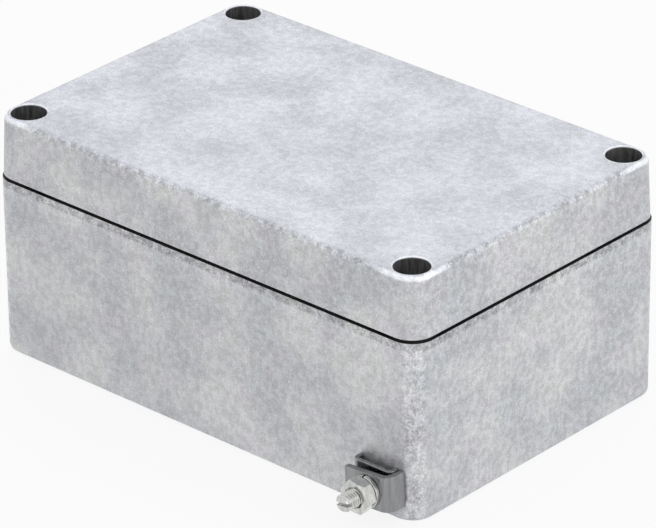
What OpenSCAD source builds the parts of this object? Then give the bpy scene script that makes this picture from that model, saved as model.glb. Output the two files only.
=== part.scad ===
// Die cast aluminium box with a screwed, sealed lid and an outer earth terminal.
// Lengths are in millimetres. +X runs along the box and z = 0 is the underside of the base.
// The side that carries the earth terminal faces -Y.

/* [Box] */
// Length over the rim of the base
box_l = 122; // [118:1:160]
// Width over the rim of the base
box_w = 80; // [76:1:110]
// Height of the closed box
box_h = 57; // [50:1:90]
// Height of the lid, with the gap under its rim
lid_h = 15; // [13.5:0.5:18]
// Radius of the upright corners
corner_r = 5.5; // [5:0.5:7.5]
// Open gap between the two rims
rim_gap = 0.7; // [0.4:0.1:1]
// Step from the rim of the base in to the rim of the lid
lid_inset = 0.2; // [0:0.1:0.5]

/* [Castings] */
// Thickness of the side walls at the rims
wall = 4.5; // [4.4:0.1:5]
// Thickness of the floor of the base
floor_t = 3.5; // [2.5:0.5:5]
// Thickness of the top of the lid
top_t = 3.2; // [2.5:0.1:4]
// Taper of the base on each side, from its rim to its underside
base_draft = 0.1; // [0.06:0.02:0.8]
// Taper of the lid on each side, from its rim to its top
lid_draft = 0.64; // [0.1:0.02:0.7]
// Taper of both cavities on each side
cavity_draft = 0.6; // [0.2:0.1:1]
// Radius of the edge round the underside
base_edge_r = 1.2; // [0.6:0.1:2]
// Radius of the edge round the top
lid_edge_r = 1.6; // [0.6:0.1:2]
// Fillet along the foot of the inner walls
cavity_fillet = 2; // [1:0.5:3]
// Radius of the cavity's corners beside the pillars
cavity_r = 3; // [1:0.5:4]
// Radius of the corner pillars' inner edge
pillar_r = 6; // [5:0.5:7]

/* [Seal] */
// Distance from the cavity to the seal groove in the lid
groove_in = 0.9; // [0.7:0.1:1.1]
// Width of the seal groove
groove_w = 2.4; // [2:0.1:2.4]
// Depth of the seal groove
groove_depth = 3.5; // [3:0.1:4]
// Metal left between the seal groove and the wells in the pillars
seal_land = 1.2; // [1:0.1:1.5]
// Width of the tongue on the base
tongue_w = 1.4; // [1:0.1:1.6]
// Height of the tongue above the rim of the base
tongue_h = 1.6; // [1.2:0.1:2]

/* [Lid screws] */
// Distance of each lid screw from the sides of the box
screw_edge = 6; // [6:0.1:7]
// Thread diameter of the lid screws
screw_d = 4; // [3.6:0.1:4.2]
// Diameter of the plain neck of each screw
neck_d = 3; // [2.4:0.1:3.2]
// Length of each screw under its head
screw_l = 16; // [15:0.5:17]
// Diameter of each screw head
head_d = 7; // [6:0.1:7.4]
// Height of each screw head
head_h = 2.6; // [2:0.1:2.8]
// Depth of each screw head below the top of the lid
head_depth = 4.8; // [4.5:0.1:5]
// Diameter of the holes for the screw heads
head_hole_d = 8; // [7.7:0.1:8.2]
// Chamfer round the mouth of each of those holes
head_hole_edge = 0.3; // [0.1:0.05:0.5]
// Thickness of the metal that each head presses on
web_t = 2.6; // [2.2:0.1:2.8]
// Radius of the four seats under the lid that rest on the base
seat_r = 4.6; // [4.4:0.1:4.8]
// Diameter of the rings that keep the screws in the lid
retainer_d = 5.6; // [5:0.1:5.8]
// Thickness of those rings
retainer_t = 1; // [0.8:0.1:1.2]
// Turns of a lid screw from tight to free
screw_turns = 9; // [8.5:0.5:9]
// Rise of a lid screw in one turn
screw_pitch = 0.7; // [0.6:0.05:0.7]

/* [Wall fixing] */
// Distance of each fixing hole from the nearest lid screw
fixing_step = 8; // [7.8:0.1:9]
// Diameter of the wells down to the fixing holes
well_d = 8; // [7.5:0.1:8]
// Diameter of the fixing holes
fixing_d = 4.6; // [4.2:0.1:5]
// Height of the seat at the foot of each well
fixing_seat = 4.5; // [3:0.5:8]

/* [Inner bosses] */
// Spacing of the four tapped floor bosses along the box
boss_pitch_x = 92; // [70:1:96]
// Spacing of the floor bosses across the box
boss_pitch_y = 24; // [16:1:26]
// Diameter of the floor bosses
boss_d = 8; // [7:0.5:9]
// Height of the floor bosses above the floor
boss_h = 4; // [3:0.5:8]
// Diameter of the tapped holes in the bosses and for the earth stud
tapped_d = 4; // [3.6:0.1:4.2]
// Depth of those tapped holes
tapped_depth = 6; // [5:0.5:6.5]

/* [Outer earth terminal] */
// Distance of the earth stud from the end of the box
earth_edge = 8.8; // [8.6:0.1:10.5]
// Height of the earth stud above the underside
earth_z = 7.9; // [6.5:0.1:9]
// Reach of the earth stud out from the wall
stud_out = 12.9; // [12:0.1:15]
// Width of the slot in the end of the stud
stud_slot_w = 0.8; // [0.5:0.1:1]
// Length of the saddle along the wall
saddle_l = 12; // [11:0.1:12.5]
// Height of the saddle
saddle_h = 8; // [7:0.1:9]
// Reach of the saddle's face out from the wall
saddle_out = 5.15; // [4.9:0.05:5.5]
// Thickness of the saddle's sheet
saddle_t = 1.45; // [1:0.05:1.6]
// Outer radius of the saddle's bend
saddle_bend_r = 2.6; // [2:0.1:3]
// Turn of the saddle on its stud, in degrees
saddle_turn = 4; // [0:0.5:5]
// Length of the pressure plate along the wall
plate_l = 10.6; // [9:0.1:11]
// Height of the pressure plate
plate_h = 9.1; // [8:0.1:9.5]
// Reach of the pressure plate's face out from the wall
plate_out = 2.6; // [2:0.05:3]
// Thickness of the pressure plate's sheet
plate_t = 0.95; // [0.6:0.05:1.1]
// Outer radius of the pressure plate's bends
plate_bend_r = 1.4; // [1.2:0.1:1.8]
// Diameter of the spring washers
washer_d = 7.4; // [6.6:0.1:7.6]
// Thickness of the spring washers
washer_t = 1.05; // [0.8:0.05:1.2]
// Width of the earth nut across its flats
nut_af = 7; // [6.5:0.1:7.5]
// Height of the earth nut
nut_h = 3.2; // [2.4:0.1:3.2]
// Turn of the nut's corners from the horizontal, in degrees
nut_turn = 8; // [0:1:30]

/* [Inner earth terminal] */
// Distance of the inner earth screw from the middle of the box
inner_x = 30; // [20:1:36]
// Distance of the inner earth screw from the side of the box
inner_edge = 14; // [13:0.5:16]
// Height of the inner earth boss above the floor
inner_boss_h = 7; // [5:0.5:9]
// Diameter of the inner earth boss
inner_boss_d = 9; // [8:0.5:10]
// Length of the inner earth screw under its head
inner_screw_l = 8; // [7.5:0.5:8.5]
// Side of the square clamp plate under the inner earth screw
clamp_side = 8.6; // [8:0.1:9.5]
// Thickness of the clamp plate
clamp_t = 1; // [0.8:0.1:1.4]
// Depth of the clamp plate's two turned edges
clamp_lip = 0.8; // [0.5:0.1:1]

/* [Clearances] */
// Radial gap of a thread or a turning part in its hole
run_gap = 0.05; // [0.02:0.01:0.08]
// Radial gap of a loose washer, saddle or ring round its screw
loose_gap = 0.2; // [0.1:0.05:0.25]
// Gap between parts that only just touch
seat_gap = 0.05; // [0.02:0.01:0.1]

/* [Hidden] */
$fn = 64;
eps = 0.01;
// Reach of a cut past the face that it opens
cut = 1;
// Depth of a boss into the floor that carries it
sunk = 1;
// Bulge of an edge's round over the flat beside it, so that the two cross cleanly
fuse = 0.004;
// Straight stretch of the cavity walls: extra reach of their tapered section
wall_land = 0.1;
// A length to the nearest micron, so that neighbouring sections share their corners
function snap(v) = round(v * 1000) / 1000;

// Heights of the two rims
base_h = box_h - lid_h;
lid_z = base_h + rim_gap;
// Half sizes of the box and of its cavity
half_l = box_l / 2;
half_w = box_w / 2;
inner_half_l = half_l - wall;
inner_half_w = half_w - wall;
// Lid screws and fixing holes
screw_x = half_l - screw_edge;
screw_y = half_w - screw_edge;
fixing_y = screw_y - fixing_step;
corners = [[1, -1], [1, 1], [-1, 1], [-1, -1]];
// Seal groove, tongue and pillars, as distances outside the cavity
groove_out = groove_in + groove_w;
tongue_in = groove_in + (groove_w - tongue_w) / 2;
pillar_x = screw_x - well_d / 2 - seal_land - groove_out;
pillar_y = fixing_y - well_d / 2 - seal_land - groove_out;
// Levels down a lid screw
web_top = box_h - head_depth - head_h;
web_bottom = web_top - web_t;
screw_tip = web_top - screw_l;
screw_travel = screw_turns * screw_pitch;
// Play left above a retaining ring when its screw is free, and below and around it at rest
free_play = 0.2;
retainer_play = 0.3;
retainer_top = web_bottom - screw_travel - free_play;
retainer_z = retainer_top - retainer_t;
retainer_floor = retainer_z - retainer_play;
retainer_hole_d = retainer_d + 2 * retainer_play;
// Depth of a lid screw's hole below its tip
screw_hole_depth = 3;
// Chamfer at a thread's end and at a slotted head's slot
thread_chamfer = 0.5;
slot_w = 1.2;
slot_depth = 1.3;
// Outer earth terminal: the wall's face at the saddle's top, and the stack along the stud
earth_x = half_l - earth_edge;
earth_wall = half_w - base_draft * (1 - (earth_z + plate_h / 2) / base_h) + seat_gap;
stud_depth = 7.5;
stud_tip_gap = 1;
stud_slot_depth = 1.2;
stud_slot_turn = 8;
washer_z = saddle_out;
nut_z = washer_z + washer_t;
// Slit of a spring washer: its width, its place round the ring and its slant
washer_slit = 0.6;
slit_place = 100;
slit_slant = 20;
// Corners of the nut, and the chamfer that takes them down to its round face
nut_corner_d = nut_af / cos(30);
nut_chamfer = 0.6;
nut_face_d = nut_af - 0.5;
nut_over = 0.1;
// Gap between the saddle's leg and the pressure plate
leg_gap = 0.35;
plate_end = saddle_l / 2 - saddle_t - leg_gap;
// Inner earth terminal
inner_y = -(half_w - inner_edge);
inner_top = floor_t + inner_boss_h;
clamp_top = inner_top + clamp_lip + clamp_t;
// Depth of the inner screw's hole below its tip
inner_tip_gap = 1.5;
inner_hole_depth = inner_screw_l - washer_t - clamp_t - clamp_lip + inner_tip_gap;

// Rectangle with round corners, centred on the origin
module round_rect(l, w, r) {
    square([l - 2 * r, w], center = true);
    square([l, w - 2 * r], center = true);
    for (c = corners)
        translate([c[0] * (l / 2 - r), c[1] * (w / 2 - r)])
            circle(r);
}

// Plan of the cavity between the corner pillars, grown outwards by grow
module cavity_plan(grow) {
    round_rect(2 * (inner_half_l + grow), 2 * (pillar_y + grow), cavity_r + grow);
    round_rect(2 * (pillar_x + grow), 2 * (inner_half_w + grow), cavity_r + grow);
    edge_r = pillar_r - grow;
    for (c = corners)
        to_corner(c)
            translate([pillar_x + grow, pillar_y + grow])
                difference() {
                    translate([-eps, -eps])
                        square(edge_r + eps);
                    translate([edge_r, edge_r])
                        circle(edge_r);
                }
}

// Mirror a plan or a solid into one of the four corners
module to_corner(c) {
    mirror([c[0] < 0 ? 1 : 0, 0, 0])
        mirror([0, c[1] < 0 ? 1 : 0, 0])
            children();
}

// Place the children at each corner's lid screw
module at_screw(k) {
    translate([corners[k - 1][0] * screw_x, corners[k - 1][1] * screw_y, 0])
        children();
}

// Half section of a tapered wall: reach out at the rim, and an edge of radius edge_r at depth h
module half_section(reach, h, draft, edge_r) {
    lean = atan(draft / h);
    cx = snap(reach - draft * (h - edge_r) / h - edge_r / cos(lean)) + fuse;
    translate([cx, h - edge_r])
        circle(edge_r);
    polygon([[0, 0], [reach, 0],
        [cx - fuse + edge_r * cos(lean), h - edge_r + edge_r * sin(lean)],
        [cx, h], [0, h]]);
}

// Both halves of that section
module full_section(reach, h, draft, edge_r) {
    half_section(reach, h, draft, edge_r);
    mirror([1, 0])
        half_section(reach, h, draft, edge_r);
}

module along_x(l) {
    rotate([90, 0, 90])
        linear_extrude(l, center = true)
            children();
}

module along_y(l) {
    rotate([90, 0, 0])
        linear_extrude(l, center = true)
            children();
}

// Outer form of a casting, with its rim at z = 0 and its closed face at z = h
module cast_form(reach_x, reach_y, h, draft, edge_r) {
    along_x(2 * (reach_x - corner_r))
        full_section(reach_y, h, draft, edge_r);
    along_y(2 * (reach_y - corner_r))
        full_section(reach_x, h, draft, edge_r);
    for (c = corners)
        to_corner(c)
            translate([reach_x - corner_r, reach_y - corner_r, 0])
                rotate_extrude(angle = 90)
                    half_section(corner_r, h, draft, edge_r);
}

// Cavity of a casting, open at z = 0 and closed at z = depth
module cast_cavity(depth) {
    intersection() {
        translate([0, 0, -eps])
            linear_extrude(depth + 2 * eps)
                cavity_plan(0);
        translate([0, 0, -eps])
            along_x(box_l)
                full_section(inner_half_w + wall_land, depth + eps, cavity_draft, cavity_fillet);
        translate([0, 0, -eps])
            along_y(box_w)
                full_section(inner_half_l + wall_land, depth + eps, cavity_draft, cavity_fillet);
    }
}

// Ring that follows the cavity, between two distances outside it
module seal_ring(inner, outer, h) {
    linear_extrude(h)
        difference() {
            cavity_plan(outer);
            cavity_plan(inner);
        }
}

// Threaded or plain rod, with a chamfered end at z = 0
module rod(d, l) {
    cylinder(thread_chamfer, d1 = d - 2 * thread_chamfer, d2 = d);
    translate([0, 0, thread_chamfer])
        cylinder(l - thread_chamfer, d = d);
}

module slotted_head() {
    difference() {
        cylinder(head_h, d = head_d);
        translate([-head_d, -slot_w / 2, head_h - slot_depth])
            cube([2 * head_d, slot_w, slot_depth + cut]);
    }
}

module floor_bosses() {
    for (c = corners)
        translate([c[0] * boss_pitch_x / 2, c[1] * boss_pitch_y / 2, floor_t - sunk])
            cylinder(boss_h + sunk, d = boss_d);
    translate([inner_x, inner_y, floor_t - sunk])
        cylinder(inner_boss_h + sunk, d = inner_boss_d);
}

module boss_holes() {
    for (c = corners)
        translate([c[0] * boss_pitch_x / 2, c[1] * boss_pitch_y / 2, floor_t + boss_h - tapped_depth])
            cylinder(tapped_depth + cut, d = tapped_d + 2 * run_gap);
    translate([inner_x, inner_y, inner_top - inner_hole_depth])
        cylinder(inner_hole_depth + cut, d = tapped_d + 2 * run_gap);
}

// Hole for a lid screw and the well beside it, down through the corner pillar
module pillar_holes() {
    for (c = corners)
        translate([c[0] * screw_x, 0, 0]) {
            translate([0, c[1] * screw_y, screw_tip - screw_hole_depth])
                cylinder(base_h, d = screw_d + 2 * run_gap);
            translate([0, c[1] * screw_y, retainer_floor])
                cylinder(base_h, d = retainer_hole_d);
            translate([0, c[1] * fixing_y, fixing_seat])
                cylinder(base_h, d = well_d);
            translate([0, c[1] * fixing_y, -cut])
                cylinder(base_h, d = fixing_d);
        }
}

// Turn the children so that their +Z points out of the wall along the earth stud
module on_stud(turn) {
    translate([earth_x, -earth_wall, earth_z])
        rotate([90, 0, 0])
            rotate([0, 0, turn])
                children();
}

module base() {
    color("gainsboro")
        difference() {
            union() {
                difference() {
                    translate([0, 0, base_h])
                        mirror([0, 0, 1])
                            cast_form(half_l, half_w, base_h, base_draft, base_edge_r);
                    translate([0, 0, base_h])
                        mirror([0, 0, 1])
                            cast_cavity(base_h - floor_t);
                }
                translate([0, 0, base_h - eps])
                    seal_ring(tongue_in, tongue_in + tongue_w, tongue_h + eps);
                floor_bosses();
            }
            pillar_holes();
            boss_holes();
            on_stud(0)
                translate([0, 0, -stud_depth - stud_tip_gap])
                    cylinder(stud_depth + stud_tip_gap + cut, d = tapped_d + 2 * run_gap);
        }
}

module lid() {
    color("lightgray")
        difference() {
            union() {
                translate([0, 0, lid_z])
                    difference() {
                        cast_form(half_l - lid_inset, half_w - lid_inset, box_h - lid_z,
                            lid_draft, lid_edge_r);
                        cast_cavity(box_h - lid_z - top_t);
                    }
                for (k = [1:4])
                    at_screw(k)
                        translate([0, 0, base_h])
                            cylinder(rim_gap + eps, r = seat_r);
            }
            translate([0, 0, lid_z - eps])
                seal_ring(groove_in, groove_out, groove_depth + eps);
            for (k = [1:4])
                at_screw(k) {
                    translate([0, 0, base_h - cut])
                        cylinder(box_h, d = screw_d + 2 * loose_gap);
                    translate([0, 0, base_h - cut])
                        cylinder(web_bottom - base_h + cut, d = retainer_hole_d);
                    translate([0, 0, web_top])
                        cylinder(box_h, d = head_hole_d);
                    translate([0, 0, box_h - head_hole_edge])
                        cylinder(head_hole_edge + cut, d1 = head_hole_d,
                            d2 = head_hole_d + 2 * (head_hole_edge + cut));
                }
        }
}

module lid_gasket() {
    color("dimgray")
        translate([0, 0, base_h + tongue_h])
            seal_ring(groove_in, groove_out, rim_gap + groove_depth - tongue_h);
}

module lid_screw(k) {
    color("silver")
        at_screw(k) {
            translate([0, 0, web_top])
                slotted_head();
            translate([0, 0, screw_tip])
                rod(screw_d, retainer_z - seat_gap - screw_tip);
            translate([0, 0, retainer_z - seat_gap - eps])
                cylinder(web_top - retainer_z + seat_gap + 2 * eps, d = neck_d);
        }
}

module screw_retainer(k) {
    color("ivory")
        at_screw(k)
            translate([0, 0, retainer_z])
                difference() {
                    cylinder(retainer_t, d = retainer_d);
                    translate([0, 0, -cut])
                        cylinder(retainer_t + 2 * cut, d = neck_d + 2 * run_gap);
                }
}

module earth_stud() {
    color("silver")
        on_stud(0)
            difference() {
                translate([0, 0, stud_out])
                    mirror([0, 0, 1])
                        rod(screw_d, stud_out + stud_depth);
                rotate([0, 0, stud_slot_turn])
                    translate([-screw_d, -stud_slot_w / 2, stud_out - stud_slot_depth])
                        cube([2 * screw_d, stud_slot_w, stud_slot_depth + cut]);
            }
}

// Quarter of a bent sheet, from +X round to +Y
module bend(outer_r, t) {
    intersection() {
        difference() {
            circle(outer_r);
            circle(outer_r - t);
        }
        square(outer_r);
    }
}

module earth_pressure_plate() {
    color("gray")
        on_stud(0)
            difference() {
                rotate([90, 0, 0])
                    linear_extrude(plate_h, center = true) {
                        translate([plate_end - plate_bend_r, plate_out - plate_bend_r])
                            bend(plate_bend_r, plate_t);
                        translate([plate_end - plate_l + plate_bend_r, plate_out - plate_bend_r])
                            mirror([1, 0])
                                bend(plate_bend_r, plate_t);
                        translate([plate_end - plate_l + plate_bend_r - eps, plate_out - plate_t])
                            square([plate_l - 2 * plate_bend_r + 2 * eps, plate_t]);
                        translate([plate_end - plate_t, 0])
                            square([plate_t, plate_out - plate_bend_r + eps]);
                        translate([plate_end - plate_l, 0])
                            square([plate_t, plate_out - plate_bend_r + eps]);
                    }
                cylinder(plate_out + cut, d = screw_d + 2 * loose_gap);
            }
}

module earth_saddle() {
    color("gray")
        on_stud(saddle_turn)
            difference() {
                rotate([90, 0, 0])
                    linear_extrude(saddle_h, center = true) {
                        translate([saddle_l / 2 - saddle_bend_r, saddle_out - saddle_bend_r])
                            bend(saddle_bend_r, saddle_t);
                        translate([-saddle_l / 2, saddle_out - saddle_t])
                            square([saddle_l - saddle_bend_r + eps, saddle_t]);
                        translate([saddle_l / 2 - saddle_t, 0])
                            square([saddle_t, saddle_out - saddle_bend_r + eps]);
                    }
                cylinder(saddle_out + cut, d = screw_d + 2 * loose_gap);
            }
}

// Flat ring with one narrow slanting slit
module spring_washer() {
    difference() {
        cylinder(washer_t, d = washer_d);
        translate([0, 0, -cut])
            cylinder(washer_t + 2 * cut, d = screw_d + 2 * loose_gap);
        rotate([0, 0, slit_place])
            translate([0, -washer_slit / 2, washer_t / 2])
                rotate([slit_slant, 0, 0])
                    translate([0, 0, -washer_t])
                        cube([washer_d, washer_slit, 2 * washer_t]);
    }
}

module earth_spring_washer() {
    color("silver")
        on_stud(0)
            translate([0, 0, washer_z])
                spring_washer();
}

module earth_nut() {
    color("silver")
        on_stud(0)
            translate([0, 0, nut_z])
                difference() {
                    intersection() {
                        rotate([0, 0, -nut_turn])
                            cylinder(nut_h, d = nut_corner_d, $fn = 6);
                        union() {
                            cylinder(nut_h - nut_chamfer, d = nut_corner_d + nut_over);
                            translate([0, 0, nut_h - nut_chamfer])
                                cylinder(nut_chamfer, d1 = nut_corner_d + nut_over, d2 = nut_face_d);
                        }
                    }
                    translate([0, 0, -cut])
                        cylinder(nut_h + 2 * cut, d = screw_d + 2 * run_gap);
                }
}

module on_inner(z) {
    translate([inner_x, inner_y, z])
        children();
}

module inner_earth_clamp() {
    color("silver")
        on_inner(inner_top)
            difference() {
                union() {
                    translate([-clamp_side / 2, -clamp_side / 2, clamp_lip])
                        cube([clamp_side, clamp_side, clamp_t]);
                    for (s = [-1, 1])
                        translate([s * (clamp_side - clamp_t) / 2, 0, clamp_lip / 2 + eps])
                            cube([clamp_t, clamp_side, clamp_lip + 2 * eps], center = true);
                }
                translate([0, 0, -cut])
                    cylinder(clamp_lip + clamp_t + 2 * cut, d = screw_d + 2 * loose_gap);
            }
}

module inner_earth_spring_washer() {
    color("silver")
        on_inner(clamp_top)
            spring_washer();
}

module inner_earth_screw() {
    color("silver")
        on_inner(clamp_top + washer_t) {
            slotted_head();
            translate([0, 0, -inner_screw_l])
                rod(screw_d, inner_screw_l + eps);
        }
}

base();
lid();
lid_gasket();
lid_screw(1);  // lid_screw_1
lid_screw(2);  // lid_screw_2
lid_screw(3);  // lid_screw_3
lid_screw(4);  // lid_screw_4
screw_retainer(1);  // screw_retainer_1
screw_retainer(2);  // screw_retainer_2
screw_retainer(3);  // screw_retainer_3
screw_retainer(4);  // screw_retainer_4
earth_stud();
earth_pressure_plate();
earth_saddle();
earth_spring_washer();
earth_nut();
inner_earth_screw();
inner_earth_spring_washer();
inner_earth_clamp();
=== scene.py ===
import math

import bmesh
import bpy
from mathutils import Matrix, Vector


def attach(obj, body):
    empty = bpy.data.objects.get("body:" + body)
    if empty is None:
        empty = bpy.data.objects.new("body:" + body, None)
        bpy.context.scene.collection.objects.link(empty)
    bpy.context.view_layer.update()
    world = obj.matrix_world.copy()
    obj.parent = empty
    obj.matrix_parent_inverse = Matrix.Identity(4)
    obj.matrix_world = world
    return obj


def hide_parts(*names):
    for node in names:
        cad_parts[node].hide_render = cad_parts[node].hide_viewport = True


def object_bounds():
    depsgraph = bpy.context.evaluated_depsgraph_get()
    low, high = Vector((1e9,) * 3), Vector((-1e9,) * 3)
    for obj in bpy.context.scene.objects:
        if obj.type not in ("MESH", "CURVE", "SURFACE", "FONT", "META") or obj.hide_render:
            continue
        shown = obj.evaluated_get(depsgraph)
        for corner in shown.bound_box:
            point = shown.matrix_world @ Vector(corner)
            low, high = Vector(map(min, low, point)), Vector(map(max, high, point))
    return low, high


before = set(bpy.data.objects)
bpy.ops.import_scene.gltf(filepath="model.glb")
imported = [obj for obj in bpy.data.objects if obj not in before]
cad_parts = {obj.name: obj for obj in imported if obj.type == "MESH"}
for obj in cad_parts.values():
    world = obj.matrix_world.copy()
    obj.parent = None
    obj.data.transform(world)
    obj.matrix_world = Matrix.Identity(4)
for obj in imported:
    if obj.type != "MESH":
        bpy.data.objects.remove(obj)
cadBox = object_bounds()
print("frame loaded")

mm = 0.001
scene = bpy.context.scene
scene.view_settings.view_transform = "Standard"


# small wrappers so that a material reads as a list of steps
def addNode(tree, kind, inputs=None, **settings):
    node = tree.nodes.new(kind)
    for key, value in settings.items():
        setattr(node, key, value)
    for key, value in (inputs or {}).items():
        if isinstance(value, bpy.types.NodeSocket):
            tree.links.new(value, node.inputs[key])
        else:
            node.inputs[key].default_value = value
    return node


def math2(tree, operation, a, b=0.0, clamp=False):
    node = addNode(tree, "ShaderNodeMath", {0: a, 1: b}, operation=operation, use_clamp=clamp)
    return node.outputs[0]


def remap(tree, value, low, high, toLow=0.0, toHigh=1.0):
    node = addNode(tree, "ShaderNodeMapRange", {"Value": value, "From Min": low, "From Max": high,
                                                "To Min": toLow, "To Max": toHigh},
                   interpolation_type="SMOOTHSTEP")
    return node.outputs["Result"]


def mixColor(tree, factor, a, b):
    node = addNode(tree, "ShaderNodeMix", {0: factor, 6: a, 7: b}, data_type="RGBA")
    return node.outputs[2]


def solidColor(tint):
    return (*tint, 1.0)


def newGroup(name, inputs, outputs):
    group = bpy.data.node_groups.new(name, "ShaderNodeTree")
    for socketName, kind, value in inputs:
        socket = group.interface.new_socket(socketName, in_out="INPUT", socket_type="NodeSocket" + kind)
        if value is not None:
            socket.default_value = value
    for socketName, kind in outputs:
        group.interface.new_socket(socketName, in_out="OUTPUT", socket_type="NodeSocket" + kind)
    return group, group.nodes.new("NodeGroupInput").outputs, group.nodes.new("NodeGroupOutput").inputs


def useGroup(tree, group, inputs):
    node = addNode(tree, "ShaderNodeGroup", node_tree=group)
    for key, value in inputs.items():
        if isinstance(value, bpy.types.NodeSocket):
            tree.links.new(value, node.inputs[key])
        else:
            node.inputs[key].default_value = value
    return node.outputs


# effects shared by the metals
def makeGrainGroup():
    group, given, out = newGroup(
        "castGrain",
        [("Vector", "Vector", None), ("Grain Size", "Float", 0.4), ("Blotch Size", "Float", 6.0)],
        [("Speckle", "Float"), ("Cloud", "Float"), ("Blotch", "Float"), ("Height", "Float")])
    perMetre = math2(group, "DIVIDE", 1000.0, given["Grain Size"])
    speckle = addNode(group, "ShaderNodeTexNoise", {"Vector": given["Vector"], "Scale": perMetre,
                                                    "Detail": 2.0, "Roughness": 0.6})
    cloudScale = math2(group, "MULTIPLY", perMetre, 0.27)
    cloud = addNode(group, "ShaderNodeTexNoise", {"Vector": given["Vector"], "Scale": cloudScale,
                                                  "Detail": 3.0, "Roughness": 0.55})
    blotchScale = math2(group, "DIVIDE", 1000.0, given["Blotch Size"])
    blotch = addNode(group, "ShaderNodeTexNoise", {"Vector": given["Vector"], "Scale": blotchScale,
                                                   "Detail": 2.0, "Roughness": 0.5})
    group.links.new(speckle.outputs[0], out["Speckle"])
    group.links.new(cloud.outputs[0], out["Cloud"])
    group.links.new(blotch.outputs[0], out["Blotch"])
    height = math2(group, "ADD", math2(group, "MULTIPLY", speckle.outputs[0], 0.6),
                   math2(group, "MULTIPLY", cloud.outputs[0], 0.7))
    group.links.new(height, out["Height"])
    return group


def makeStreakGroup():
    group, given, out = newGroup(
        "drawnStreaks",
        [("Vector", "Vector", None), ("Width", "Float", 0.8), ("Length", "Float", 12.0)],
        [("Streak", "Float")])
    across = math2(group, "DIVIDE", 1000.0, given["Width"])
    along = math2(group, "DIVIDE", 1000.0, given["Length"])
    size = addNode(group, "ShaderNodeCombineXYZ", {"X": across, "Y": across, "Z": along})
    place = addNode(group, "ShaderNodeVectorMath", {0: given["Vector"], 1: size.outputs[0]}, operation="MULTIPLY")
    noise = addNode(group, "ShaderNodeTexNoise", {"Vector": place.outputs[0], "Scale": 1.0,
                                                  "Detail": 3.0, "Roughness": 0.6})
    group.links.new(noise.outputs[0], out["Streak"])
    return group


def makeCornerPlaceGroup():
    # how far a point lies from the nearest lid screw's axis, and its height, in metres
    group, given, out = newGroup(
        "cornerPlace",
        [("Vector", "Vector", None), ("Corner X", "Float", 0.055), ("Corner Y", "Float", 0.034)],
        [("From Hole", "Float"), ("Z", "Float")])
    parts = addNode(group, "ShaderNodeSeparateXYZ", {0: given["Vector"]}).outputs
    dx = math2(group, "SUBTRACT", math2(group, "ABSOLUTE", parts["X"]), given["Corner X"])
    dy = math2(group, "SUBTRACT", math2(group, "ABSOLUTE", parts["Y"]), given["Corner Y"])
    squares = math2(group, "ADD", math2(group, "MULTIPLY", dx, dx), math2(group, "MULTIPLY", dy, dy))
    group.links.new(math2(group, "SQRT", squares), out["From Hole"])
    group.links.new(parts["Z"], out["Z"])
    return group


grainGroup = makeGrainGroup()
streakGroup = makeStreakGroup()
cornerPlaceGroup = makeCornerPlaceGroup()

castSkin = {
    "cool": (0.578, 0.592, 0.618),
    "warm": (0.592, 0.602, 0.606),
    "lilac": (0.596, 0.588, 0.622),
    # top: painted light, the lighter cooler tint given to faces that point up or down
    "top": (0.583, 0.598, 0.640),
    "metallic": 0.72,
    "roughness": 0.50,
    "grainSize": 0.42,      # mm
    "blotchSize": 14.0,     # mm
    "streakWidth": 0.75,    # mm
    "streakLength": 5.0,    # mm
    "bumpDepth": 0.07,      # mm
    "speckle": 0.11,        # how far each pattern lightens and darkens the skin
    "cloud": 0.115,
    "blotch": 0.085,
    "drawn": 0.03,
    "sparkle": 0.12,
    "rimDark": 0.16,        # the rough band under the base's rim
    # the next two are painted highlights: a bright line under the rough rim band, and a strip down the base's corners
    "underRimHighlight": 0.05,
    "baseCornerHighlight": 0.1,
    # the next two are painted highlights on the lid: a soft strip down the corners and a bright edge round each corner
    # hole
    "lidCornerHighlight": 0.03,
    "holeEdgeHighlight": 0.55,  # painted highlight on the fillet round each corner hole
    "rimBand": (0.0399, 0.0405),        # m above the underside
    "underRimBand": (0.0372, 0.0398),
    "baseTop": (0.0418, 0.0419),
    "lidUnderside": (0.0427, 0.0428),
    "holeFloor": (0.0495, 0.0505),
    "holeMouth": (0.0564, 0.0567),
    "holeWall": (0.00402, 0.00408),     # m from the screw's axis
    "holeEdge": (0.0058, 0.0085),
    # painted shade inside the lid's screw holes
    "holeShadeGrey": 0.085,
    # painted shade on the sealing faces of lid and base, for the dark split line
    "splitShadeGrey": (0.05, 0.05, 0.05, 1.0),
}


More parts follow.
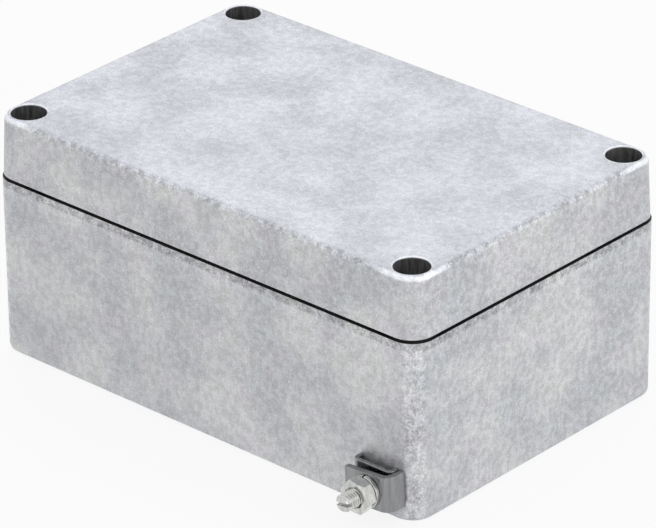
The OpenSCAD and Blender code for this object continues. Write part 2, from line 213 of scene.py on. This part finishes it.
def makeCastMaterial(name, kind):
    material = bpy.data.materials.new(name)
    material.use_nodes = True
    tree = material.node_tree
    shader = tree.nodes["Principled BSDF"]
    coords = addNode(tree, "ShaderNodeTexCoord").outputs
    grain = useGroup(tree, grainGroup, {"Vector": coords["Object"], "Grain Size": castSkin["grainSize"],
                                        "Blotch Size": castSkin["blotchSize"]})
    streak = useGroup(tree, streakGroup, {"Vector": coords["Object"], "Width": castSkin["streakWidth"],
                                          "Length": castSkin["streakLength"]})["Streak"]
    place = useGroup(tree, cornerPlaceGroup, {"Vector": coords["Object"]})
    facing = addNode(tree, "ShaderNodeSeparateXYZ", {0: coords["Normal"]}).outputs
    level = math2(tree, "ABSOLUTE", facing["Z"])
    side = remap(tree, level, 0.35, 0.75, 1.0, 0.0)
    # tint: cool and warm patches, with a lilac cast in places, and a painted lighter, cooler tint on the flat faces
    # where the light falls
    tint = mixColor(tree, remap(tree, grain["Blotch"], 0.42, 0.58), solidColor(castSkin["cool"]),
                    solidColor(castSkin["warm"]))
    lilacNoise = addNode(tree, "ShaderNodeTexNoise", {"Vector": coords["Object"], "Scale": 130.0, "Detail": 2.0})
    tint = mixColor(tree, remap(tree, lilacNoise.outputs[0], 0.48, 0.62, 0.0, 0.7), tint, solidColor(castSkin["lilac"]))
    tint = mixColor(tree, math2(tree, "SUBTRACT", 1.0, side), tint, solidColor(castSkin["top"]))
    # brightness: speckle, clouds and blotches everywhere, streaks on the upright faces only
    speckle = remap(tree, grain["Speckle"], 0.28, 0.72, -1.0, 1.0)
    cloud = remap(tree, grain["Cloud"], 0.34, 0.66, -1.0, 1.0)
    blotch = remap(tree, grain["Blotch"], 0.32, 0.68, -1.0, 1.0)
    drawn = math2(tree, "MULTIPLY", remap(tree, streak, 0.34, 0.66, -1.0, 1.0), side)
    sparkle = remap(tree, grain["Speckle"], 0.6, 0.72)
    # rough crust: a band under the base's rim, a line along the lid's top edge, a strip down the corners
    corner = remap(tree, math2(tree, "ABSOLUTE", math2(tree, "MULTIPLY", facing["X"], facing["Y"])), 0.2, 0.5)
    if kind == "lid":
        crust = math2(tree, "MULTIPLY", remap(tree, level, 0.08, 0.5), remap(tree, level, 0.75, 0.95, 1.0, 0.0))
        # painted highlights: a bright edge on the fillet round each corner hole, and a soft strip down the corner
        glint = math2(tree, "MULTIPLY", crust, remap(tree, place["From Hole"], *castSkin["holeEdge"], 1.0, 0.0))
        crust = math2(tree, "MULTIPLY", crust, math2(tree, "SUBTRACT", 1.0, math2(tree, "MULTIPLY", glint, 0.8)))
        lift = math2(tree, "ADD", math2(tree, "MULTIPLY", corner, castSkin["lidCornerHighlight"]),
                     math2(tree, "MULTIPLY", glint, castSkin["holeEdgeHighlight"]))
    else:
        rim = math2(tree, "MULTIPLY", remap(tree, place["Z"], *castSkin["rimBand"]), side)
        under = math2(tree, "MULTIPLY", remap(tree, place["Z"], *castSkin["underRimBand"]), side)
        # the strip just under the rim band gets a painted highlight line and the base's corners a painted highlight
        # strip; the rim band itself is darker rough casting
        soft = math2(tree, "SUBTRACT", under, rim)
        crust = math2(tree, "MAXIMUM", math2(tree, "MULTIPLY", rim, 0.8), math2(tree, "MULTIPLY", corner, 0.8))
        lift = math2(tree, "SUBTRACT", math2(tree, "MULTIPLY", corner, castSkin["baseCornerHighlight"]),
                     math2(tree, "MULTIPLY", rim, castSkin["rimDark"]))
        lift = math2(tree, "ADD", lift, math2(tree, "MULTIPLY", soft, castSkin["underRimHighlight"]))
    gain = math2(tree, "ADD", crust, 1.0)
    shade = math2(tree, "MULTIPLY", speckle, castSkin["speckle"])
    shade = math2(tree, "ADD", shade, math2(tree, "MULTIPLY", cloud, castSkin["cloud"]))
    shade = math2(tree, "ADD", shade, math2(tree, "MULTIPLY", drawn, castSkin["drawn"]))
    shade = math2(tree, "ADD", shade, math2(tree, "MULTIPLY", sparkle, castSkin["sparkle"]))
    shade = math2(tree, "MULTIPLY", shade, gain)
    shade = math2(tree, "ADD", shade, math2(tree, "MULTIPLY", blotch, castSkin["blotch"]))
    shade = math2(tree, "ADD", math2(tree, "ADD", shade, lift), 1.0)
    color = addNode(tree, "ShaderNodeVectorMath", {0: tint}, operation="SCALE")
    tree.links.new(shade, color.inputs["Scale"])
    color = color.outputs[0]
    rough = math2(tree, "ADD", math2(tree, "MULTIPLY", cloud, 0.07), castSkin["roughness"])
    metallic = castSkin["metallic"]
    if kind == "lid":
        # painted shade: the walls of the screw holes are painted dark and not metallic, with faint upright lines
        inHole = math2(tree, "MULTIPLY", remap(tree, place["From Hole"], *castSkin["holeWall"], 1.0, 0.0),
                       remap(tree, place["Z"], *castSkin["holeMouth"], 1.0, 0.0))
        inHole = math2(tree, "MULTIPLY", inHole, remap(tree, place["Z"], *castSkin["holeFloor"]))
        line = math2(tree, "ADD", math2(tree, "MULTIPLY", remap(tree, streak, 0.34, 0.66, -1.0, 1.0), 0.5), 1.0)
        color = mixColor(tree, inHole, color, math2(tree, "MULTIPLY", line, castSkin["holeShadeGrey"]))
        # painted shade: the sealing face is painted near black, so the split line stays dark
        splitShade = math2(tree, "MULTIPLY", remap(tree, place["Z"], *castSkin["lidUnderside"], 1.0, 0.0),
                        remap(tree, facing["Z"], -0.9, -0.6, 1.0, 0.0))
        color = mixColor(tree, splitShade, color, castSkin["splitShadeGrey"])
        metallic = math2(tree, "MULTIPLY", math2(tree, "SUBTRACT", 1.0, inHole), metallic)
        tree.links.new(metallic, shader.inputs["Metallic"])
    else:
        # painted shade: the base's sealing face is painted near black, so the split line stays dark
        splitShade = math2(tree, "MULTIPLY", remap(tree, place["Z"], *castSkin["baseTop"]),
                        remap(tree, facing["Z"], 0.6, 0.9))
        color = mixColor(tree, splitShade, color, castSkin["splitShadeGrey"])
        shader.inputs["Metallic"].default_value = metallic
    tree.links.new(color, shader.inputs["Base Color"])
    tree.links.new(rough, shader.inputs["Roughness"])
    depth = math2(tree, "MULTIPLY", gain, 0.45)
    bump = addNode(tree, "ShaderNodeBump", {"Height": grain["Height"], "Strength": depth,
                                            "Distance": castSkin["bumpDepth"] * mm})
    tree.links.new(bump.outputs[0], shader.inputs["Normal"])
    return material


steelLines = {"fineWidth": 0.12, "broadWidth": 1.2, "fine": 0.08, "broad": 0.15, "roughnessChange": 0.06}


def makeSteelMaterial(name, color, roughness, grainLength):
    material = bpy.data.materials.new(name)
    material.use_nodes = True
    tree = material.node_tree
    shader = tree.nodes["Principled BSDF"]
    coords = addNode(tree, "ShaderNodeTexCoord").outputs
    narrow = useGroup(tree, streakGroup, {"Vector": coords["Object"], "Width": steelLines["fineWidth"],
                                          "Length": grainLength})["Streak"]
    wide = useGroup(tree, streakGroup, {"Vector": coords["Object"], "Width": steelLines["broadWidth"],
                                        "Length": grainLength * 2})["Streak"]
    fine = remap(tree, narrow, 0.3, 0.7, -1.0, 1.0)
    broad = remap(tree, wide, 0.3, 0.7, -1.0, 1.0)
    shade = math2(tree, "ADD", math2(tree, "MULTIPLY", fine, steelLines["fine"]),
                  math2(tree, "MULTIPLY", broad, steelLines["broad"]))
    shade = math2(tree, "ADD", shade, 1.0)
    tinted = addNode(tree, "ShaderNodeVectorMath", {0: color}, operation="SCALE")
    tree.links.new(shade, tinted.inputs["Scale"])
    tree.links.new(tinted.outputs[0], shader.inputs["Base Color"])
    change = math2(tree, "MULTIPLY", broad, steelLines["roughnessChange"])
    tree.links.new(math2(tree, "ADD", change, roughness), shader.inputs["Roughness"])
    shader.inputs["Metallic"].default_value = 1.0
    return material


def makePlainMaterial(name, color, roughness, grainSize, bumpDepth):
    material = bpy.data.materials.new(name)
    material.use_nodes = True
    tree = material.node_tree
    shader = tree.nodes["Principled BSDF"]
    coords = addNode(tree, "ShaderNodeTexCoord").outputs
    grain = useGroup(tree, grainGroup, {"Vector": coords["Object"], "Grain Size": grainSize,
                                        "Blotch Size": grainSize * 12})
    shade = math2(tree, "ADD", math2(tree, "MULTIPLY", remap(tree, grain["Cloud"], 0.3, 0.7, -1.0, 1.0), 0.12), 1.0)
    tinted = addNode(tree, "ShaderNodeVectorMath", {0: color}, operation="SCALE")
    tree.links.new(shade, tinted.inputs["Scale"])
    tree.links.new(tinted.outputs[0], shader.inputs["Base Color"])
    rough = math2(tree, "ADD", math2(tree, "MULTIPLY", grain["Speckle"], 0.15), roughness)
    tree.links.new(rough, shader.inputs["Roughness"])
    bump = addNode(tree, "ShaderNodeBump", {"Height": grain["Height"], "Strength": 0.5, "Distance": bumpDepth * mm})
    tree.links.new(bump.outputs[0], shader.inputs["Normal"])
    return material


castLid = makeCastMaterial("castLid", "lid")
castBase = makeCastMaterial("castBase", "base")
clampSteel = makeSteelMaterial("rolledSteel", (0.27, 0.275, 0.28), 0.24, 8.0)
brightSteel = makeSteelMaterial("turnedSteel", (0.60, 0.605, 0.585), 0.20, 4.0)
sealRubber = makePlainMaterial("sealRubber", (0.035, 0.035, 0.037), 0.65, 0.3, 0.02)
ringNylon = makePlainMaterial("ringNylon", (0.78, 0.76, 0.70), 0.45, 0.4, 0.01)
print("materials made")


def finishNode(name, material):
    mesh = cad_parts[name].data
    mesh.materials.clear()
    mesh.materials.append(material)


finishNode("base", castBase)
finishNode("lid", castLid)
finishNode("lid_gasket", sealRubber)
for k in range(1, 5):
    finishNode("screw_retainer_%d" % k, ringNylon)
print("nodes finished")


def pieceFrom(name, bm, material):
    bmesh.ops.remove_doubles(bm, verts=bm.verts, dist=1e-7)
    bmesh.ops.recalc_face_normals(bm, faces=bm.faces)
    mesh = bpy.data.meshes.new(name)
    bm.to_mesh(mesh)
    bm.free()
    mesh.materials.append(material)
    piece = bpy.data.objects.new(name, mesh)
    scene.collection.objects.link(piece)
    return piece


def softenEdges(piece, width, segments=2, angle=35):
    step = piece.modifiers.new("softEdges", "BEVEL")
    step.width = width * mm
    step.segments = segments
    step.limit_method = "ANGLE"
    step.angle_limit = math.radians(angle)
    step.miter_outer = "MITER_ARC"


def settle(piece, body, nodeName, smoothAngle=40):
    piece.data.shade_smooth()
    piece.data.set_sharp_from_angle(angle=math.radians(smoothAngle))
    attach(piece, body)
    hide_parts(nodeName)


def turned(bm, points, steps=64):
    # a closed shape turned about Z from a half outline of (radius, height) in millimetres
    corners = [bm.verts.new((r * mm, 0, z * mm)) for r, z in points]
    edges = [bm.edges.new(pair) for pair in zip(corners, corners[1:])]
    bmesh.ops.spin(bm, geom=corners + edges, cent=(0, 0, 0), axis=(0, 0, 1), dvec=(0, 0, 0),
                   angle=2 * math.pi, steps=steps, use_merge=True, use_duplicate=False)


def cutLevel(bm, height, keepBelow):
    # trim at a level and close the cut
    side = 1 if keepBelow else -1
    everything = bm.verts[:] + bm.edges[:] + bm.faces[:]
    cut = bmesh.ops.bisect_plane(bm, geom=everything, dist=1e-8, plane_co=(0, 0, height * mm),
                                 plane_no=(0, 0, side), clear_outer=True)["geom_cut"]
    rim = [e for e in cut if isinstance(e, bmesh.types.BMEdge)]
    bmesh.ops.edgeloop_fill(bm, edges=rim)


def threaded(bm, radius, pitch, low, high, tip, steps=40):
    # a screw thread about Z between two levels, with its end at "tip" chamfered
    depth = 0.58 * pitch
    start = low - 1.5 * pitch
    turns = math.ceil((high - low) / pitch) + 3
    outline = [(radius - depth, 0), (radius - depth, 0.12), (radius, 0.47), (radius, 0.63), (radius - depth, 1)]
    corners = [bm.verts.new((r * mm, 0, (start + h * pitch) * mm)) for r, h in outline]
    edges = [bm.edges.new(pair) for pair in zip(corners, corners[1:])]
    bmesh.ops.spin(bm, geom=corners + edges, cent=(0, 0, 0), axis=(0, 0, 1), dvec=(0, 0, pitch * mm / steps),
                   angle=2 * math.pi * turns, steps=steps * turns, use_merge=False, use_duplicate=False)
    bmesh.ops.remove_doubles(bm, verts=bm.verts, dist=2e-6)
    cutLevel(bm, high, True)
    cutLevel(bm, low, False)
    for vert in bm.verts:
        allowed = (radius - depth * 1.1) * mm + abs(vert.co.z - tip * mm)
        reach = math.hypot(vert.co.x, vert.co.y)
        if reach > allowed:
            vert.co.x *= allowed / reach
            vert.co.y *= allowed / reach


def carve(piece, tool, operation="DIFFERENCE"):
    step = piece.modifiers.new("carve", "BOOLEAN")
    step.operation = operation
    step.solver = "EXACT"
    step.object = tool
    mesh = bpy.data.meshes.new_from_object(piece.evaluated_get(bpy.context.evaluated_depsgraph_get()))
    piece.modifiers.clear()
    piece.data = mesh
    bpy.data.objects.remove(tool)


def slotTool(width, depth, length, level, turn):
    bm = bmesh.new()
    bmesh.ops.create_cube(bm, size=1.0)
    bmesh.ops.scale(bm, verts=bm.verts, vec=(length * mm, width * mm, 2 * depth * mm))
    bmesh.ops.rotate(bm, verts=bm.verts, matrix=Matrix.Rotation(math.radians(turn), 3, "Z"))
    bmesh.ops.translate(bm, verts=bm.verts, vec=(0, 0, level * mm))
    return pieceFrom("slotTool", bm, brightSteel)


def moveMesh(piece, matrix):
    piece.data.transform(matrix)
    piece.data.update()


def roundedCopy(nodeName, pieceName, material, width, segments=2):
    bm = bmesh.new()
    bm.from_mesh(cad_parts[nodeName].data)
    bmesh.ops.remove_doubles(bm, verts=bm.verts, dist=1e-6)
    bmesh.ops.dissolve_limit(bm, angle_limit=math.radians(1.0), use_dissolve_boundaries=False,
                             verts=bm.verts, edges=bm.edges, delimit={"NORMAL"})
    sharp = [e for e in bm.edges if len(e.link_faces) == 2 and e.calc_face_angle() > math.radians(40)]
    bmesh.ops.bevel(bm, geom=sharp, offset=width * mm, offset_type="OFFSET", segments=segments, profile=0.5,
                    affect="EDGES", clamp_overlap=True, material=-1)
    return pieceFrom(pieceName, bm, material)

# the outer earth terminal: its pieces are made about Z and then laid out from the wall
terminal = {
    "x": 52.2,          # the stud's place along the box, mm
    "z": 7.9,           # the stud's height
    "wall": 39.98,      # the wall's face
}


def fromWall(turn=0.0):
    place = Matrix.Translation((terminal["x"] * mm, -terminal["wall"] * mm, terminal["z"] * mm))
    return place @ Matrix.Rotation(math.radians(90), 4, "X") @ Matrix.Rotation(math.radians(turn), 4, "Z")


stud = {"radius": 2.0, "pitch": 0.7, "inner": -7.4, "tip": 12.9, "slot": 0.8, "slotDepth": 1.2, "slotTurn": 8}


def makeStud(settings):
    bm = bmesh.new()
    threaded(bm, settings["radius"], settings["pitch"], settings["inner"], settings["tip"], settings["tip"])
    piece = pieceFrom("earthStudRod", bm, brightSteel)
    carve(piece, slotTool(settings["slot"], settings["slotDepth"], 6, settings["tip"], settings["slotTurn"]))
    moveMesh(piece, fromWall())
    settle(piece, "base_unit", "earth_stud", 25)


nut = {"flats": 7.0, "height": 3.2, "low": 6.2, "chamfer": 0.6, "face": 6.5, "bore": 4.1, "sink": 4.9, "turn": -8}


def makeNut(settings):
    low, high = settings["low"], settings["low"] + settings["height"]
    corner = settings["flats"] / math.cos(math.radians(30)) / 2
    bm = bmesh.new()
    bmesh.ops.create_circle(bm, cap_ends=True, segments=6, radius=corner * mm)
    bmesh.ops.rotate(bm, verts=bm.verts, matrix=Matrix.Rotation(math.radians(settings["turn"] - 90), 3, "Z"))
    bmesh.ops.translate(bm, verts=bm.verts, vec=(0, 0, low * mm))
    grown = bmesh.ops.extrude_face_region(bm, geom=bm.faces[:])["geom"]
    bmesh.ops.translate(bm, verts=[v for v in grown if isinstance(v, bmesh.types.BMVert)],
                        vec=(0, 0, settings["height"] * mm))
    piece = pieceFrom("earthNutHexagon", bm, brightSteel)
    face, chamfer, wide = settings["face"] / 2, settings["chamfer"], corner + 0.05
    disc = bmesh.new()
    turned(disc, [(0, low), (face, low), (wide, low + chamfer), (wide, high - chamfer), (face, high), (0, high)], 96)
    carve(piece, pieceFrom("nutDisc", disc, brightSteel), "INTERSECT")
    bore, sink = settings["bore"] / 2, settings["sink"] / 2
    hole = bmesh.new()
    turned(hole, [(0, low - 1), (sink, low - 1), (sink, low), (bore, low + sink - bore), (bore, high - sink + bore),
                  (sink, high), (sink, high + 1), (0, high + 1)], 64)
    carve(piece, pieceFrom("nutBore", hole, brightSteel))
    moveMesh(piece, fromWall())
    softenEdges(piece, 0.09)
    settle(piece, "nut_outer", "earth_nut")


springWasher = {"bore": 4.4, "outer": 7.4, "height": 0.97, "step": 0.08, "slit": 9}


def makeSpringWasher(name, settings, matrix, body, nodeName):
    inner, outer, height = settings["bore"] / 2, settings["outer"] / 2, settings["height"]
    bm = bmesh.new()
    corners = [bm.verts.new((r * mm, 0, z * mm)) for r, z in
               ((inner, 0), (outer, 0), (outer, height), (inner, height))]
    bm.faces.new(corners)
    steps = 80
    bmesh.ops.spin(bm, geom=bm.faces[:], cent=(0, 0, 0), axis=(0, 0, 1),
                   dvec=(0, 0, settings["step"] * mm / steps),
                   angle=math.radians(360 - settings["slit"]), steps=steps, use_merge=False, use_duplicate=False)
    bmesh.ops.holes_fill(bm, edges=bm.edges, sides=0)
    piece = pieceFrom(name, bm, brightSteel)
    moveMesh(piece, matrix)
    softenEdges(piece, 0.12)
    settle(piece, body, nodeName)


sheetEdges = {"saddle": 0.22, "plate": 0.16, "innerClamp": 0.15}

makeStud(stud)
makeNut(nut)
makeSpringWasher("earthSpringWasher", springWasher, fromWall(100) @ Matrix.Translation((0, 0, 5.15 * mm)),
                 "clamp_outer", "earth_spring_washer")
settle(roundedCopy("earth_saddle", "earthSaddleSheet", clampSteel, sheetEdges["saddle"], 3),
       "clamp_outer", "earth_saddle")
settle(roundedCopy("earth_pressure_plate", "earthPressurePlateSheet", clampSteel, sheetEdges["plate"], 3),
       "base_unit", "earth_pressure_plate")
print("outer earth terminal made")

slottedScrew = {"head": 7.0, "headHeight": 2.6, "crown": 0.5, "slot": 1.2, "slotDepth": 1.3}


def makeScrew(name, settings, low, threadTop, neck, headLow, turn, matrix, body, nodeName):
    # thread from "low" up to "threadTop", a plain neck up to the head, and a slotted head with a rounded crown
    top = headLow + settings["headHeight"]
    head, crown = settings["head"] / 2, settings["crown"]
    bm = bmesh.new()
    turned(bm, [(0, headLow), (head - 0.1, headLow), (head, headLow + 0.1), (head, top - crown),
                (head - crown * 0.13, top - crown * 0.5), (head - crown * 0.5, top - crown * 0.13),
                (head - crown, top), (0, top)], 72)
    piece = pieceFrom(name, bm, brightSteel)
    carve(piece, slotTool(settings["slot"], settings["slotDepth"], 9, top, turn))
    bm = bmesh.new()
    threaded(bm, 2.0, 0.7, low, threadTop, low)
    if neck:
        neckRod = bmesh.new()
        turned(neckRod, [(0, threadTop - 0.3), (neck / 2, threadTop - 0.3), (neck / 2, headLow + 0.2),
                         (0, headLow + 0.2)], 48)
        joined = bpy.data.meshes.new("neckRod")
        neckRod.to_mesh(joined)
        neckRod.free()
        bm.from_mesh(joined)
        bpy.data.meshes.remove(joined)
    bm.from_mesh(piece.data)
    bmesh.ops.remove_doubles(bm, verts=bm.verts, dist=1e-7)
    bmesh.ops.recalc_face_normals(bm, faces=bm.faces)
    bm.to_mesh(piece.data)
    bm.free()
    moveMesh(piece, matrix)
    settle(piece, body, nodeName, 30)


lidScrews = {"x": 55.0, "y": 34.0, "tip": 33.6, "threadTop": 39.45, "neck": 3.0, "headLow": 49.6,
             "turns": (25, 70, -40, 10)}
for k, (endSide, wallSide) in enumerate(((1, -1), (1, 1), (-1, 1), (-1, -1)), 1):
    makeScrew("lidScrew%d" % k, slottedScrew, lidScrews["tip"], lidScrews["threadTop"], lidScrews["neck"],
              lidScrews["headLow"], lidScrews["turns"][k - 1],
              Matrix.Translation((endSide * lidScrews["x"] * mm, wallSide * lidScrews["y"] * mm, 0)),
              "screw_%d" % k, "lid_screw_%d" % k)

innerTerminal = {"x": 30.0, "y": -26.0, "clampTop": 12.3, "washer": 1.05, "length": 8.0, "turn": 35}
onBoss = Matrix.Translation((innerTerminal["x"] * mm, innerTerminal["y"] * mm, innerTerminal["clampTop"] * mm))
makeSpringWasher("innerSpringWasher", springWasher, onBoss @ Matrix.Rotation(math.radians(100), 4, "Z"),
                 "clamp_inner", "inner_earth_spring_washer")
makeScrew("innerEarthScrew", slottedScrew, innerTerminal["washer"] - innerTerminal["length"],
          innerTerminal["washer"] + 0.1, 0, innerTerminal["washer"], innerTerminal["turn"], onBoss,
          "screw_inner", "inner_earth_screw")
settle(roundedCopy("inner_earth_clamp", "innerEarthClampSheet", clampSteel, sheetEdges["innerClamp"], 3),
       "clamp_inner", "inner_earth_clamp")
print("inner earth terminal and lid screws made")

cameraSettings = {
    "turn": 42.34,      # degrees round from straight in front of the long side
    "rise": 27.283,     # degrees above the horizon
    "tilt": -0.622,
    "away": 1188.74,    # mm from the middle of the box
    "aside": 0.673,
    "above": -2.764,
    "lens": 301.69,
}


def placeCamera(settings):
    turn, rise, tilt = (math.radians(settings[k]) for k in ("turn", "rise", "tilt"))
    forward = Vector((-math.sin(turn) * math.cos(rise), math.cos(turn) * math.cos(rise), -math.sin(rise)))
    right = Vector((forward.y, -forward.x, 0)).normalized()
    up = right.cross(forward)
    rightTilted = math.cos(tilt) * right + math.sin(tilt) * up
    upTilted = math.cos(tilt) * up - math.sin(tilt) * right
    middle = Vector((0, 0, (cadBox[0][2] + cadBox[1][2]) / 2))
    place = middle - forward * settings["away"] * mm
    place += rightTilted * settings["aside"] * mm + upTilted * settings["above"] * mm
    data = bpy.data.cameras.new("camera")
    data.lens = settings["lens"]
    data.sensor_width = 36.0
    data.clip_start = 0.05
    camera = bpy.data.objects.new("camera", data)
    scene.collection.objects.link(camera)
    turned = Matrix((rightTilted, upTilted, -forward)).transposed()
    camera.matrix_world = Matrix.Translation(place) @ turned.to_4x4()
    scene.camera = camera


placeCamera(cameraSettings)

stageSettings = {
    "floorSize": 6.0,       # m
    "floorGap": 0.1,        # mm under the box, so that the two faces don't fight
    "floorColor": (0.95, 0.95, 0.95, 1.0),
    "floorWhite": 0.86,
    "worldLight": 0.75,
}


def cameraSees(tree):
    path = addNode(tree, "ShaderNodeLightPath").outputs
    seen = math2(tree, "MAXIMUM", path["Is Camera Ray"], path["Is Glossy Ray"])
    return math2(tree, "MAXIMUM", seen, path["Is Transmission Ray"])


def makeStage(settings):
    bm = bmesh.new()
    bmesh.ops.create_grid(bm, x_segments=1, y_segments=1, size=settings["floorSize"] / 2)
    bmesh.ops.translate(bm, verts=bm.verts, vec=(0, 0, -settings["floorGap"] * mm))
    mesh = bpy.data.meshes.new("floor")
    bm.to_mesh(mesh)
    bm.free()
    floor = bpy.data.objects.new("floor", mesh)
    scene.collection.objects.link(floor)
    material = bpy.data.materials.new("floorPaper")
    material.use_nodes = True
    tree = material.node_tree
    tree.nodes.clear()
    matte = addNode(tree, "ShaderNodeBsdfDiffuse", {"Color": settings["floorColor"]})
    white = addNode(tree, "ShaderNodeEmission", {"Strength": 1.0})
    both = addNode(tree, "ShaderNodeMixShader", {0: math2(tree, "MULTIPLY", cameraSees(tree), settings["floorWhite"]),
                                                 1: matte.outputs[0], 2: white.outputs[0]})
    out = addNode(tree, "ShaderNodeOutputMaterial", {"Surface": both.outputs[0]})
    mesh.materials.append(material)
    world = bpy.data.worlds.new("studio")
    scene.world = world
    world.use_nodes = True
    tree = world.node_tree
    tree.nodes.clear()
    soft = addNode(tree, "ShaderNodeBackground", {"Color": (1, 1, 1, 1), "Strength": settings["worldLight"]})
    white = addNode(tree, "ShaderNodeBackground", {"Color": (1, 1, 1, 1), "Strength": 1.0})
    both = addNode(tree, "ShaderNodeMixShader", {0: cameraSees(tree), 1: soft.outputs[0], 2: white.outputs[0]})
    addNode(tree, "ShaderNodeOutputWorld", {"Surface": both.outputs[0]})


def addSoftbox(name, place, aim, size, power):
    data = bpy.data.lights.new(name, "AREA")
    data.shape = "SQUARE"
    data.size = size
    data.energy = power
    lamp = bpy.data.objects.new(name, data)
    scene.collection.objects.link(lamp)
    lamp.location = place
    lamp.rotation_euler = (Vector(aim) - Vector(place)).to_track_quat("-Z", "Y").to_euler()


softboxes = {
    "topBox": {"place": (-0.5, 0.6, 0.9), "aim": (0, 0, 0.03), "size": 0.9, "power": 1.4},
    "rightBox": {"place": (0.9, 0.2, 0.35), "aim": (0, 0, 0.03), "size": 0.6, "power": 1.2},
}

makeStage(stageSettings)
for name, softbox in softboxes.items():
    addSoftbox(name, **softbox)
print("stage set")
